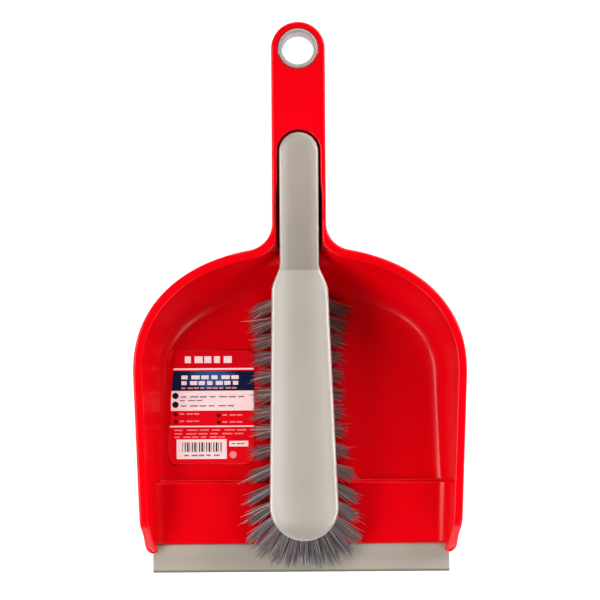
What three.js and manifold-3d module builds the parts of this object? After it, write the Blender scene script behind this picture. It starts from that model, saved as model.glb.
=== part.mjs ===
// A dust pan and brush set: a red pan with a soft lip, a hanging ring and a label, and a hand brush
// whose handle lies in the channel of the pan's handle.
// Millimetres, +Z up. The pan lies on the ground, mouth towards -Y, handle towards +Y, and the origin
// is the middle of its footprint on the ground.
import * as THREE from 'three';
import { mergeVertices } from 'three/addons/utils/BufferGeometryUtils.js';
import Module from 'manifold-3d';

const wasm = await Module();
wasm.setup();

// Driving dimensions of the pan.
const halfLength = 169.5;
const panHalfWidth = 103.2;
const mouthHalfWidth = 99.5;
const rimKinkY = -140.4; // the rim turns down to the mouth here
const widestY = -47.1; // centre of the shoulder curve
const shoulderDepth = 77.7;
const shoulderPower = 2.23;
const wall = 2.2;
const floorTop = 2.4;
const rimHeight = 30; // of the rim at the kink
const rimTilt = THREE.MathUtils.degToRad(4);
const rimBand = 5.5; // width of the flange seen from above
const skirtDepth = 5;
const skirtWall = 1.8;
const floorInset = 22.4; // from the outline to the flat floor, at the widest point
const floorInsetMouth = 11;
const floorInsetRear = 31;
const wallLean = 3.5; // the part of the inset that is draft, the rest is the foot's curve
const footPower = 2.2;
const tipY = -157.7; // front ends of the side walls
const tipHeight = 5;
const frontSlope = { top: [-142, 28.8], foot: [-156.6, 7.5] }; // [y, z] on the front edge of a side wall
const flatStartY = -138.8; // the rim is flat from here to the handle
const flatFollow = 0.8; // share of the wall's thickness that the flat starts further back inside
const plateFrontY = -152;
const plateFrontTop = 3.4;
const crestY = -114.2;
const crestHeight = 7.5;
const wellFrontY = -112.4;
const footWidth = 8; // of the strips under the side walls at the mouth
const gap = 0.3;
const far = 400; // longer than the whole object

// Driving dimensions of the pan's handle.
const handleHalfWidth = 16.7;
const handleDepth = 23;
const filletRadius = 16.7;
const filletY = 44.7;
const filletEnd = THREE.MathUtils.degToRad(260.3);
const channelHalfWidth = 13.4; // where it grips the end of the brush
const channelMouthHalfWidth = 14.3; // where it opens to the scoop
const channelStepY = 66;
const channelEndClear = 1.7; // past the end of the brush
const channelDepth = 13.5;
const channelFloor = 2;
const neckStartY = 5;
const neckEndY = 62;
const ribs = { from: 108, pitch: 12, count: 3, thickness: 1.5, short: 3 };
const seatClear = 5; // past both ends of the ring
const ringOuterRadius = 12.5;
const ringHoleRadius = 9.85;
const ringProud = 0.8;

// Driving dimensions of the lip and the label.
const lipHalfWidth = 92.5;
const lipBackTop = 3;
const lipTongue = { inset: 2, depth: 5, bottom: 1.3, top: 2 }; // the pan's edge that the lip is moulded over
const labelSize = { width: 52, height: 70, thickness: 0.3, corner: 3 };
const labelCentre = { x: -53.4, y: -67.6 };

// Driving dimensions of the brush.
const brushHalfWidth = 12.15; // of its handle
const brushEndY = 101;
const headHalfWidth = { rear: 17.5, front: 21.5 };
const headStartY = 2.8;
const flareStartY = 20;
const levelY = 15.5; // the block's top turns from the handle's slope to level here
const headEndY = -151.1;
const headTop = 43;
const headBottom = 31;
const handleClear = 0.5; // under the brush's handle
const headSkew = THREE.MathUtils.degToRad(0.75); // the head points a little to the right of its handle
const tuftHoleDepth = 6;
const tuftBendRise = 14; // from the tips up to where a tuft bends
const tuftSlope = 0.75; // of its lean that a tuft leaves the block with
const tuftTips = { well: 4.2, plate: 8.8 };
const tuftStartY = -2;
const tuftPitch = 11.4;
const sideTufts = { count: 12, inset: 4.7, root: 2.3, spread: 4.4 };
const innerTufts = { count: 11, x: 5.2, root: 2.3, spread: 4.4 };
const endTufts = { count: 9, inset: 5.2, root: 1.9, spread: 4, reach: 17, rootTurn: 18, tipTurn: 12.8 };
// At the rear end, along the middle and near the front: how far the side tufts' tips stand out from
// their roots, and the degrees that they point towards the mouth.
const sideReach = { left: [17, 13, 19.5], right: [16, 8.5, 17] };
const forwardLean = [20, 3, 28];
const rearFanned = 3; // the first few side tufts fan out like the rear end
const frontFanned = [7, 10]; // and the ones from here on like the front end

const red = { color: 0xd8020e, roughness: 0.22, metalness: 0 };
const ringGrey = { color: 0x8f8b83, roughness: 0.4, metalness: 0 };
const lipGrey = { color: 0xa79f90, roughness: 0.6, metalness: 0 };
const brushGrey = { color: 0xb3aca0, roughness: 0.38, metalness: 0 };
const bristleGrey = { color: 0x8d8580, roughness: 0.7, metalness: 0 };
const labelWhite = { color: 0xd9d2d0, roughness: 0.5, metalness: 0 };

const group = new THREE.Group();

// --- Solids -------------------------------------------------------------------------------------

function solidOf(geometry) {
  const bare = geometry.clone();
  bare.deleteAttribute('normal');
  bare.deleteAttribute('uv');
  const merged = mergeVertices(bare, 1e-5);
  return new wasm.Manifold(new wasm.Mesh({
    numProp: 3,
    vertProperties: new Float32Array(merged.attributes.position.array),
    triVerts: new Uint32Array(merged.index.array),
  }));
}

function geometryOf(solid) {
  const mesh = solid.getMesh();
  const geometry = new THREE.BufferGeometry();
  geometry.setAttribute('position', new THREE.BufferAttribute(mesh.vertProperties, 3));
  geometry.setIndex(new THREE.BufferAttribute(mesh.triVerts, 1));
  geometry.computeVertexNormals();
  return geometry;
}

// A closed body through loops of points that run anticlockwise about the direction they are stacked in.
function loft(loops) {
  const count = loops[0].length;
  const points = loops.flat();
  const faces = [];
  for (let level = 0; level + 1 < loops.length; level += 1) {
    for (let i = 0; i < count; i += 1) {
      const a = level * count + i;
      const b = level * count + (i + 1) % count;
      faces.push(a, b, b + count, a, b + count, a + count);
    }
  }
  const middle = (loop) => loop.reduce((sum, p) => sum.add(p), new THREE.Vector3()).divideScalar(count);
  const first = points.push(middle(loops[0])) - 1;
  const last = points.push(middle(loops[loops.length - 1])) - 1;
  const top = (loops.length - 1) * count;
  for (let i = 0; i < count; i += 1) {
    const next = (i + 1) % count;
    faces.push(first, next, i, last, top + i, top + next);
  }
  const geometry = new THREE.BufferGeometry().setFromPoints(points);
  geometry.setIndex(faces);
  return solidOf(geometry);
}

// A plan outline, as [x, y] points, raised from z0 to z1.
function prismZ(outline, z0, z1) {
  const shape = new THREE.Shape(outline.map(([x, y]) => new THREE.Vector2(x, y)));
  const geometry = new THREE.ExtrudeGeometry(shape, { depth: z1 - z0, bevelEnabled: false });
  return solidOf(geometry.translate(0, 0, z0));
}

// A side view, as [y, z] points, carried from x = -half to x = half.
function prismX(profile, half) {
  const shape = new THREE.Shape(profile.map(([y, z]) => new THREE.Vector2(y, z)));
  const geometry = new THREE.ExtrudeGeometry(shape, { depth: 2 * half, bevelEnabled: false });
  const axes = [new THREE.Vector3(0, 1, 0), new THREE.Vector3(0, 0, 1), new THREE.Vector3(1, 0, 0)];
  return solidOf(geometry.translate(0, 0, -half).applyMatrix4(new THREE.Matrix4().makeBasis(...axes)));
}

function box(x0, x1, y0, y1, z0, z1) {
  const geometry = new THREE.BoxGeometry(x1 - x0, y1 - y0, z1 - z0);
  return solidOf(geometry.translate((x0 + x1) / 2, (y0 + y1) / 2, (z0 + z1) / 2));
}

function addPart(name, geometry, look, parent = group) {
  const mesh = new THREE.Mesh(geometry, new THREE.MeshStandardMaterial(look));
  mesh.name = name;
  parent.add(mesh);
  return mesh;
}

// --- Outlines -----------------------------------------------------------------------------------

const mirrored = (right) => [...right, ...right.slice(0, -1).reverse().map(([x, ...rest]) => [-x, ...rest])];

// Height of the plane that the rim and the top of the handle lie in.
const rimZ = (y) => rimHeight + (y - rimKinkY) * Math.tan(rimTilt);

function superPoint(halfX, halfY, angle) {
  const x = halfX * Math.cos(angle) ** (2 / shoulderPower);
  const y = halfY * Math.sin(angle) ** (2 / shoulderPower);
  return [x, widestY + y];
}

function arc(centreX, centreY, radius, from, to, steps) {
  const points = [];
  for (let i = 0; i <= steps; i += 1) {
    const angle = from + (to - from) * i / steps;
    points.push([centreX + radius * Math.cos(angle), centreY + radius * Math.sin(angle)]);
  }
  return points;
}

// The whole pan seen from above, drawn in by inset.
function panOutline(inset) {
  const tip = [[93, tipY], [95.8, -156.3], [97, -153], [97.6, -147], [mouthHalfWidth, rimKinkY]];
  const fillet = arc(2 * filletRadius, filletY, filletRadius + inset, filletEnd, Math.PI, 6);
  const shoulder = [];
  const steps = 14;
  for (let i = 0; i <= steps; i += 1) {
    const point = superPoint(panHalfWidth - inset, shoulderDepth - inset, i / steps * Math.PI / 2);
    if (point[0] > fillet[0][0] + 1) shoulder.push(point);
  }
  const endRadius = handleHalfWidth - inset;
  const end = arc(0, halfLength - handleHalfWidth, endRadius, 0, Math.PI / 2, 8);
  end[end.length - 1][0] = 0;
  return mirrored([...tip.map(([x, y]) => [x - inset, y]), ...shoulder, ...fillet, ...end]);
}

// One loop of the scoop: the rim's shape drawn in by insets at the sides, the rear and the mouth.
function scoopPlan(inset, insetRear, insetMouth) {
  const mouthX = mouthHalfWidth - insetMouth;
  const taper = (panHalfWidth - inset - mouthX) / (widestY - rimKinkY);
  const frontY = -200;
  const right = [[mouthX - taper * (rimKinkY - frontY), frontY], [mouthX, rimKinkY]];
  const steps = 16;
  for (let i = 0; i <= steps; i += 1) {
    const angle = i / steps * Math.PI / 2;
    right.push(superPoint(panHalfWidth - inset, shoulderDepth - insetRear, angle));
  }
  right[right.length - 1][0] = 0;
  return mirrored(right);
}

// The channel for the brush's handle seen from above, widened by grow.
function channelOutline(grow) {
  const radius = channelHalfWidth + grow;
  const mouth = channelMouthHalfWidth + grow;
  const round = arc(0, brushEndY + channelEndClear - channelHalfWidth, radius, 0, Math.PI / 2, 6);
  round[round.length - 1][0] = 0;
  return mirrored([[mouth, neckStartY], [mouth, channelStepY - 1], [radius, channelStepY + 1], ...round]);
}

// The neck where the scoop's opening narrows into the channel, widened by grow.
function neckOutline(grow) {
  const start = THREE.MathUtils.degToRad(255);
  const side = arc(2 * filletRadius, filletY, filletRadius + rimBand - grow, start, Math.PI, 8);
  return mirrored([[side[0][0], neckStartY], ...side.filter(([x]) => x > channelMouthHalfWidth + grow),
    [channelMouthHalfWidth + grow, neckEndY], [0, neckEndY]]);
}

// The space for the brush's handle, neck and channel together, grown all round and downwards by grow.
function handleSpace(grow, height) {
  const plan = prismZ(channelOutline(grow), 0, far).add(prismZ(neckOutline(grow), 0, far));
  return plan.intersect(rimSlab(channelDepth + grow, height));
}

// A slab between two depths under the plane of the rim.
function rimSlab(depth, height) {
  const edge = (y, drop) => [y, rimZ(y) - drop];
  return prismX([edge(-far, depth), edge(far, depth), edge(far, height), edge(-far, height)], far);
}

// --- Pan ----------------------------------------------------------------------------------------

// The scoop as a full body: its sides curve up from bottom to the rim, drawn in by wall less outside.
function scoopBody(thickness, bottom, extra) {
  const rim = scoopPlan(rimBand, rimBand, rimBand);
  const loops = [];
  const levels = 7;
  for (let i = 0; i <= levels; i += 1) {
    const angle = i / levels * Math.PI / 2;
    const run = Math.sin(angle) ** (2 / footPower);
    const rise = i === levels ? 1 : 1 - Math.cos(angle) ** (2 / footPower);
    const draw = (inset, lean) => inset - (inset - rimBand - lean) * run - lean * rise - thickness;
    const rear = draw(floorInsetRear, 3 * wallLean);
    const plan = scoopPlan(draw(floorInset, wallLean), rear, draw(floorInsetMouth, wallLean));
    const height = (index) => bottom + rise * (rimZ(rim[index][1]) - bottom);
    loops.push(plan.map(([x, y], index) => new THREE.Vector3(x, y, height(index))));
  }
  if (extra > 0) loops.push(loops[levels].map((p) => p.clone().setZ(p.z + extra)));
  return loft(loops);
}

// The pan's front and top edge in side view: up the slope of the side walls, then along the flat rim.
function topEdge(drop) {
  const [[topY, topZ], [footY, footZ]] = [frontSlope.top, frontSlope.foot];
  const slope = [[tipY, tipHeight], [footY, footZ], [topY, topZ]].map(([y, z]) => [y + drop, z - drop]);
  const flat = [flatStartY + flatFollow * drop, far].map((y) => [y, rimZ(y) - drop]);
  return [...slope, ...flat];
}

// The side view that trims the scoop's walls.
function sideProfile() {
  return prismX([[tipY, -1], ...topEdge(0), [far, -1]], far);
}

function flangeSlab() {
  return prismX([[tipY, 0], ...topEdge(0), ...topEdge(wall).reverse(), [tipY + wall, 0]], far);
}

// The skirt under the flange grows deeper along the handle.
function skirtSlab() {
  const drop = (y, depth) => [y, rimZ(y) - depth];
  return prismX([
    drop(rimKinkY + 4, skirtDepth),
    drop(20, skirtDepth),
    drop(34, skirtDepth + 5),
    drop(48, handleDepth - 2),
    drop(56, handleDepth),
    drop(far, handleDepth),
    drop(far, 0),
    drop(rimKinkY + 4, 0),
  ], far);
}

// The plate in front of the flat floor: a step up at the well's front, then a long slope to the lip.
function rampPlate() {
  return prismX([
    [plateFrontY, plateFrontTop - wall],
    [crestY - wall, crestHeight - wall - 0.4],
    [crestY - wall, 0],
    [wellFrontY, 0],
    [wellFrontY, floorTop],
    [crestY + 0.5, crestHeight - 0.5],
    [crestY, crestHeight],
    [plateFrontY, plateFrontTop],
  ], far);
}

// What is cut out under the ramp, between the two feet that the side walls stand on.
function underRamp() {
  const half = mouthHalfWidth - floorInsetMouth - footWidth;
  return prismX([[-far, -1], [wellFrontY, -1], [wellFrontY, 5], [-far, 5]], half);
}

function handleRibs() {
  const half = handleHalfWidth - skirtWall / 2;
  const plates = [];
  for (let i = 0; i < ribs.count; i += 1) {
    const y = ribs.from + i * ribs.pitch;
    plates.push(box(-half, half, y, y + ribs.thickness, 0, far));
  }
  return wasm.Manifold.union(plates).intersect(rimSlab(handleDepth - ribs.short, wall / 2));
}

function seatPlug(radius, from, to) {
  const plug = new THREE.CylinderGeometry(radius, radius, to - from, 32);
  plug.rotateX(Math.PI / 2).translate(0, 0, (from + to) / 2);
  plug.rotateX(rimTilt).translate(0, ringY(), rimZ(ringY()));
  return solidOf(plug);
}

function ringY() {
  return halfLength - handleHalfWidth;
}

function panGeometry() {
  const outside = scoopBody(wall, 0, 0);
  const inside = scoopBody(0, floorTop, far);
  const outline = prismZ(panOutline(0), -1, far);
  const scoop = outside.subtract(inside).intersect(sideProfile()).subtract(underRamp());
  const ramp = rampPlate().intersect(outside).subtract(box(-far, far, -far, plateFrontY, -far, far));
  const opening = prismZ(scoopPlan(rimBand, rimBand, rimBand), -1, far);
  const flange = flangeSlab().intersect(outline).subtract(opening);
  const skirtBand = outline.subtract(prismZ(panOutline(skirtWall), -2, far + 1));
  const skirt = skirtBand.intersect(skirtSlab());
  const trough = handleSpace(channelFloor, 0).intersect(outline).subtract(inside);
  const boss = seatPlug(handleHalfWidth - skirtWall, -handleDepth, 0).intersect(outline);
  const { inset, depth, bottom, top } = lipTongue;
  const tongueHalf = lipHalfWidth - inset;
  const tongue = box(-tongueHalf, tongueHalf, plateFrontY - depth, plateFrontY + depth / 2, bottom, top);
  const channel = handleSpace(0, -halfLength);
  const lipRoom = box(-lipHalfWidth - gap, lipHalfWidth + gap, -far, plateFrontY, -1, lipBackTop + 2 * gap);
  return geometryOf(wasm.Manifold.union([scoop, ramp, flange, skirt, trough, boss, handleRibs()])
    .subtract(channel)
    .subtract(seatPlug(ringOuterRadius + gap, -handleDepth - seatClear, seatClear))
    .subtract(lipRoom)
    .add(tongue));
}

function lipGeometry() {
  const backY = plateFrontY - gap;
  const body = prismX([
    [backY, 0],
    [backY, lipBackTop],
    [-162, 2.2],
    [-168.6, 1.2],
    [-halfLength, 0.6],
    [-halfLength, 0],
  ], lipHalfWidth);
  const { inset, depth, bottom, top } = lipTongue;
  const slotHalf = lipHalfWidth - inset + gap;
  const slot = box(-slotHalf, slotHalf, plateFrontY - depth - gap, 0, bottom - gap, top + gap);
  return geometryOf(body.subtract(slot));
}

function ringGeometry() {
  const profile = [
    [ringHoleRadius, -handleDepth],
    [ringOuterRadius, -handleDepth],
    [ringOuterRadius, ringProud - 0.6],
    [ringOuterRadius - 0.6, ringProud],
    [ringHoleRadius + 1, ringProud],
    [ringHoleRadius, -0.4],
    [ringHoleRadius, -handleDepth],
  ];
  return new THREE.LatheGeometry(profile.map(([r, z]) => new THREE.Vector2(r, z)), 32).rotateX(Math.PI / 2);
}

function labelGeometry() {
  const { width, height, thickness, corner } = labelSize;
  const shape = new THREE.Shape();
  const x = width / 2 - corner;
  const y = height / 2 - corner;
  shape.absarc(x, y, corner, 0, Math.PI / 2, false);
  shape.absarc(-x, y, corner, Math.PI / 2, Math.PI, false);
  shape.absarc(-x, -y, corner, Math.PI, 1.5 * Math.PI, false);
  shape.absarc(x, -y, corner, 1.5 * Math.PI, 2 * Math.PI, false);
  return new THREE.ExtrudeGeometry(shape, { depth: thickness, bevelEnabled: false, curveSegments: 4 });
}

// --- Brush --------------------------------------------------------------------------------------

// Half width, top and bottom of the block at a place along it.
function blockAt(y) {
  const flare = THREE.MathUtils.smoothstep(flareStartY - y, 0, flareStartY - headStartY);
  const along = THREE.MathUtils.clamp((headStartY - y) / (headStartY - headEndY), 0, 1);
  const head = THREE.MathUtils.lerp(headHalfWidth.rear, headHalfWidth.front, along);
  const handleBottom = rimZ(y) - channelDepth + handleClear;
  const handleTop = headTop + (y - levelY) * Math.tan(rimTilt);
  const toHead = THREE.MathUtils.smoothstep(30 - y, 0, 30 - headStartY);
  return {
    halfWidth: THREE.MathUtils.lerp(brushHalfWidth, head, flare),
    top: Math.max(handleTop, headTop),
    bottom: THREE.MathUtils.lerp(handleBottom, headBottom, toHead),
  };
}

// How far the brush's middle line is from the pan's at a place along it.
function middleX(y) {
  return Math.max(0, flareStartY - y) * Math.tan(headSkew);
}

function blockSection(y, halfWidth) {
  const { top, bottom } = blockAt(y);
  const right = [[0.88, 0], [1, 0.14], [1, 0.6], [0.9, 0.82], [0.6, 0.95], [0.22, 1]];
  const loop = [...right, ...right.toReversed().map(([x, z]) => [-x, z])];
  return loop.map(([x, z]) => new THREE.Vector3(middleX(y) + x * halfWidth, y, bottom + z * (top - bottom)));
}

function blockGeometry(tufts) {
  const sections = [];
  const handleCentreY = brushEndY - brushHalfWidth;
  const headCentreY = headEndY + headHalfWidth.front;
  for (const angle of [84, 66, 48, 30, 14]) {
    const turn = THREE.MathUtils.degToRad(angle);
    const y = handleCentreY + brushHalfWidth * Math.sin(turn);
    sections.push(blockSection(y, brushHalfWidth * Math.cos(turn)));
  }
  const stations = [60, 30, flareStartY, 17, levelY, 13, 10, 7, 4.5, headStartY, -40, -90];
  for (const y of [handleCentreY, ...stations, headCentreY]) {
    sections.push(blockSection(y, blockAt(y).halfWidth));
  }
  for (const angle of [14, 28, 42, 56, 70, 84]) {
    const turn = THREE.MathUtils.degToRad(angle);
    const y = headCentreY - headHalfWidth.front * Math.sin(turn);
    sections.push(blockSection(y, headHalfWidth.front * Math.cos(turn)));
  }
  const holes = tufts.map(tuftHole);
  return geometryOf(loft(sections).subtract(wasm.Manifold.union(holes)));
}

// A tuft's name, its root on the block's underside, the way its tips stand out, and its radii.
function tuftAt(name, x, y, reach, turn, { root, spread }) {
  const angle = THREE.MathUtils.degToRad(turn);
  const [leanX, leanY] = [reach * Math.cos(angle), reach * Math.sin(angle)];
  return { name, x: middleX(y) + x, y, leanX, leanY, root, spread };
}

// The value for the side tuft at index i, from its values at the rear, the middle and the front.
function alongSide([rear, middle, front], i) {
  const toRear = Math.max(0, 1 - i / rearFanned);
  const toFront = THREE.MathUtils.smoothstep(i, ...frontFanned);
  return middle + (rear - middle) * toRear + (front - middle) * toFront;
}

function sideTuft(side, i) {
  const y = tuftStartY - i * tuftPitch;
  const reach = alongSide(sideReach[side], i);
  const forward = alongSide(forwardLean, i);
  const x = blockAt(y).halfWidth - sideTufts.inset;
  return side === 'right' ? tuftAt(`tuft_right_${i + 1}`, x, y, reach, -forward, sideTufts)
    : tuftAt(`tuft_left_${i + 1}`, -x, y, reach, 180 + forward, sideTufts);
}

function endTuft(i) {
  const step = i - (endTufts.count - 1) / 2;
  const place = THREE.MathUtils.degToRad(-90 + endTufts.rootTurn * step);
  const radius = headHalfWidth.front - endTufts.inset;
  const x = radius * Math.cos(place);
  const y = headEndY + headHalfWidth.front + radius * Math.sin(place);
  return tuftAt(`tuft_end_${i + 1}`, x, y, endTufts.reach, -90 + endTufts.tipTurn * step, endTufts);
}

function tuftLayout() {
  const tufts = [];
  for (const [side, sign] of [['left', -1], ['right', 1]]) {
    for (let i = 0; i < sideTufts.count; i += 1) tufts.push(sideTuft(side, i));
    for (let i = 0; i < innerTufts.count; i += 1) {
      const y = tuftStartY - (i + 0.5) * tuftPitch;
      tufts.push(tuftAt(`tuft_inner_${side}_${i + 1}`, sign * innerTufts.x, y, 0, 0, innerTufts));
    }
  }
  for (let i = 0; i < endTufts.count; i += 1) tufts.push(endTuft(i));
  return tufts;
}

// Tips that reach over the ramp end higher than those over the flat floor.
function tipHeightOf({ y, leanY, spread }) {
  return y + leanY - spread < wellFrontY ? tuftTips.plate : tuftTips.well;
}

// A tuft from the bottom of its hole to its tips.
function tuftSolid(tuft) {
  const tipZ = tipHeightOf(tuft);
  return tuftLoft(tuft, [tipZ, tipZ + tuftBendRise, headBottom, headBottom + tuftHoleDepth], 0);
}

// The hole that a tuft sits in, which is open at the block's underside.
function tuftHole(tuft) {
  return tuftLoft(tuft, [headBottom - 1, headBottom + tuftHoleDepth + gap], gap);
}

// A body round the tuft's bent middle line at the given heights; its slope grows towards the tips.
function tuftLoft(tuft, heights, grow) {
  const length = headBottom - tipHeightOf(tuft);
  return loft(heights.map((z) => {
    const down = (headBottom - z) / length;
    const bend = tuftSlope * down + (1 - tuftSlope) * Math.max(down, 0) ** 2;
    const radius = grow + tuft.root + (tuft.spread - tuft.root) * Math.max(down, 0);
    const ring = arc(tuft.x + tuft.leanX * bend, tuft.y + tuft.leanY * bend, radius, 0, 1.75 * Math.PI, 7);
    return ring.map(([x, y]) => new THREE.Vector3(x, y, z));
  }));
}

// --- Assembly -----------------------------------------------------------------------------------

addPart('pan_body', panGeometry(), red);
addPart('rubber_lip', lipGeometry(), lipGrey);

const ring = addPart('hanging_ring', ringGeometry(), ringGrey);
ring.position.set(0, ringY(), rimZ(ringY()));
ring.rotation.x = rimTilt;

const label = addPart('label', labelGeometry(), labelWhite);
label.position.set(labelCentre.x, labelCentre.y, floorTop + gap);

const brush = new THREE.Group();
group.add(brush);

const tufts = tuftLayout();
addPart('brush_block', blockGeometry(tufts), brushGrey, brush);
for (const tuft of tufts) {
  addPart(tuft.name, geometryOf(tuftSolid(tuft)), bristleGrey, brush);
}

export default group;
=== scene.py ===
import math
import random

import bmesh
import bpy
import numpy as np
from mathutils import Matrix, Vector


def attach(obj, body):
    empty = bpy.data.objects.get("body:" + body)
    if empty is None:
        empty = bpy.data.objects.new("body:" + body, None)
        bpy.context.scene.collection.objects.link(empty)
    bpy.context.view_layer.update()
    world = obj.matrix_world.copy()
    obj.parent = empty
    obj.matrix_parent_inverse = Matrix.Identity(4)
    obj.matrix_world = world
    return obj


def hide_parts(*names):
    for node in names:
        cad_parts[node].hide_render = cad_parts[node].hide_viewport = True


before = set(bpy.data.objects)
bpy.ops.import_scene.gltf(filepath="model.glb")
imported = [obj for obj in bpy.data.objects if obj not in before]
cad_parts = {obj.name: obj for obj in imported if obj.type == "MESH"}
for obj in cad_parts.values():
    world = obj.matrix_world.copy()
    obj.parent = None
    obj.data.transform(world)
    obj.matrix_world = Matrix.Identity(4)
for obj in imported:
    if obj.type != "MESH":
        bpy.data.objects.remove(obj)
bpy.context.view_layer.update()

MM = 0.001

# Driving dimensions in millimetres. They follow the CAD model's, with a few set closer to the
# photograph. First the pan.
HALF_LENGTH = 169.5
PAN_HALF_WIDTH = 103.2
MOUTH_HALF_WIDTH = 99.5
RIM_KINK_Y = -140.4
WIDEST_Y = -47.1
SHOULDER_DEPTH = 77.7
SHOULDER_POWER = 2.23
WALL = 2.0
FLOOR_TOP = 2.4
RIM_HEIGHT = 30.0
RIM_TILT = math.radians(4)
RIM_BAND = 5.5
SKIRT_DEPTH = 5.0
SKIRT_WALL = 1.8
FLOOR_INSET = 22.4
FLOOR_INSET_MOUTH = 11.0
FLOOR_INSET_REAR = 31.0
WALL_LEAN = 3.5
REAR_LEAN = 3 * WALL_LEAN
FOOT_POWER = 2.2
TIP_Y = -157.7
TIP_LOW = 4.6
TIP_SLOPE = 1.459
TIP_SLOPE_TOP = 28.8
TIP_SLOPE_Y = RIM_KINK_Y - 1.6
PLATE_FRONT_Y = -152.0
PLATE_FRONT_TOP = 3.4
CREST_Y = -114.2
CREST_HEIGHT = 7.5
WELL_FRONT_Y = -112.4
EDGE_ROUND = 1.5
INNER_ROUND = 1.2

# The pan's handle.
HANDLE_HALF_WIDTH = 16.7
HANDLE_DEPTH = 23.0
FILLET_RADIUS = 16.7
FILLET_Y = 44.7
FILLET_END = math.radians(260.3)
CHANNEL_HALF_WIDTH = 13.4
CHANNEL_MOUTH_HALF_WIDTH = 14.3
CHANNEL_STEP_Y = 66.0
CHANNEL_ROUND_Y = 101.0 + 1.7 - CHANNEL_HALF_WIDTH
CHANNEL_DEPTH = 13.5
CHANNEL_FOOT_ROUND = 3.0
CHANNEL_LEAN = 0.9
NECK_EXTRA_LEAN = 0.6
NECK_SLOPE_RUN = 4.5
RIB_YS = (108, 120, 132)
RIB_WALL = 1.5
RING_Y = HALF_LENGTH - HANDLE_HALF_WIDTH
RING_OUTER = 12.3
RING_HOLE = 9.85
RING_PROUD = 0.8
RING_ROUND = 0.9
SEAT_GAP = 0.3

# How finely the pan's skin is divided.
RAY_SAMPLES = 700
WALL_ROWS = 26
FLOOR_ROWS = 16
SHORTEST_WALL = 30
INNER_RIM_STEPS = 7

# The lip and the label.
LIP_HALF_WIDTH = 92.5
LIP_BACK_TOP = 3.0
LABEL_CENTRE = (-55.9, -66.1)
LABEL_HALF = (27.0, 36.4)
LABEL_CORNER = 5.0
LABEL_LIFT = 0.22
LABEL_FILM = 0.2
LABEL_LINES = 61

# The brush.
BRUSH_HALF_WIDTH = 12.15
BRUSH_END_Y = 101.0
HEAD_HALF_REAR = 17.5
HEAD_HALF_FRONT = 21.1
HEAD_START_Y = 2.8
FLARE_START_Y = 20.0
LEVEL_Y = 15.5
HEAD_END_Y = -151.1
HEAD_ROUND_Y = HEAD_END_Y + HEAD_HALF_FRONT
NOSE_START_Y = HEAD_ROUND_Y - 9
NOSE_DROP = 2.4
CROWN = {"head": 1.9, "handle": 0.5}
BLOCK_EDGE_POWER = 5.6
BLOCK_EDGE_HEIGHT = 5.0
HEAD_TOP = 43.0
HEAD_BOTTOM = 31.0
HANDLE_CLEAR = 0.8
HEAD_SKEW = math.radians(0.75)

# Its tufts. A value for the side rows is given at the rear, the middle and the front.
TUFT_TIP_WELL = 4.2
TUFT_TIP_PLATE = 8.8
SIDE_TUFTS = 12
INNER_TUFTS = 11
END_TUFTS = 9
TUFT_START_Y = -2.0
TUFT_PITCH = 11.4
TUFT_CAD_SPREAD = 4.4
TUFT_ROOT = {"outer": 2.4, "inner": 2.2}
SIDE_TUFT_INSET = 4.7
INNER_TUFT_X = 5.2
END_TUFT_INSET = 5.2
PLAIN_SPREAD = 4.2
SIDE_REACH = {"left": (17.0, 13.0, 19.5), "right": (16.0, 8.5, 17.0)}
FORWARD_LEAN = (20.0, 3.0, 28.0)
SIDE_SPREAD = (5.0, 5.6, 4.3)
END_REACH = 17.0
END_REACH_STEP = 2.6
END_PLACE_STEP = 18.0
END_TURN_STEP = 12.8
FILAMENTS = 110
FILAMENT_RADIUS = (0.15, 0.2)
GOLDEN_ANGLE = 2.39996
STRAY_SHARE = 0.1


# --- Small tools ---

def smoothstep(value, low, high):
    t = np.clip((value - low) / (high - low), 0, 1)
    return t * t * (3 - 2 * t)


def smooth_min(a, b, blend):
    h = np.clip(0.5 + 0.5 * (b - a) / blend, 0, 1)
    return b + (a - b) * h - blend * h * (1 - h)


def smooth_max(a, b, blend):
    return -smooth_min(-a, -b, blend)


def rim_plane(y):
    return RIM_HEIGHT + (y - RIM_KINK_Y) * math.tan(RIM_TILT)


def edge_z(y):
    """Height of the top edge: the tilted plane, then the slope down to the mouth."""
    slope = TIP_SLOPE_TOP + (y - TIP_SLOPE_Y) * TIP_SLOPE
    return smooth_min(rim_plane(y), np.maximum(slope, TIP_LOW), 2.0)


def curve_through(points, count):
    """A smooth curve through the points, at count places evenly spaced along it."""
    p = np.array([points[0]] + list(points) + [points[-1]], float)
    fine = []
    for a, b, c, d in zip(p, p[1:], p[2:], p[3:]):
        for t in np.linspace(0, 1, 24, endpoint=False):
            fine.append(0.5 * (2 * b + (c - a) * t + (2 * a - 5 * b + 4 * c - d) * t ** 2
                               + (3 * b - a - 3 * c + d) * t ** 3))
    fine.append(p[-2])
    return resample(np.array(fine), count)


def lengths_along(path):
    return np.r_[0, np.cumsum(np.linalg.norm(np.diff(path, axis=0), axis=1))]


def resample(path, count):
    steps = lengths_along(path)
    at = np.linspace(0, steps[-1], count)
    return np.stack([np.interp(at, steps, path[:, k]) for k in range(path.shape[1])], 1)


def soften(path, rounds):
    """Rounds the corners of a path by averaging neighbours; the ends stay."""
    p = path.copy()
    for _ in range(rounds):
        p[1:-1] = 0.25 * p[:-2] + 0.5 * p[1:-1] + 0.25 * p[2:]
    return p


def path_normals(path):
    """Unit vectors square to a path, pointing to its left."""
    along = np.gradient(path, axis=0)
    along /= np.linalg.norm(along, axis=1)[:, None]
    return np.stack([-along[:, 1], along[:, 0]], 1)


def circle_points(count):
    """The cosine and sine of count even angles."""
    angles = [2 * math.pi * k / count for k in range(count)]
    return [(math.cos(a), math.sin(a)) for a in angles]


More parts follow.
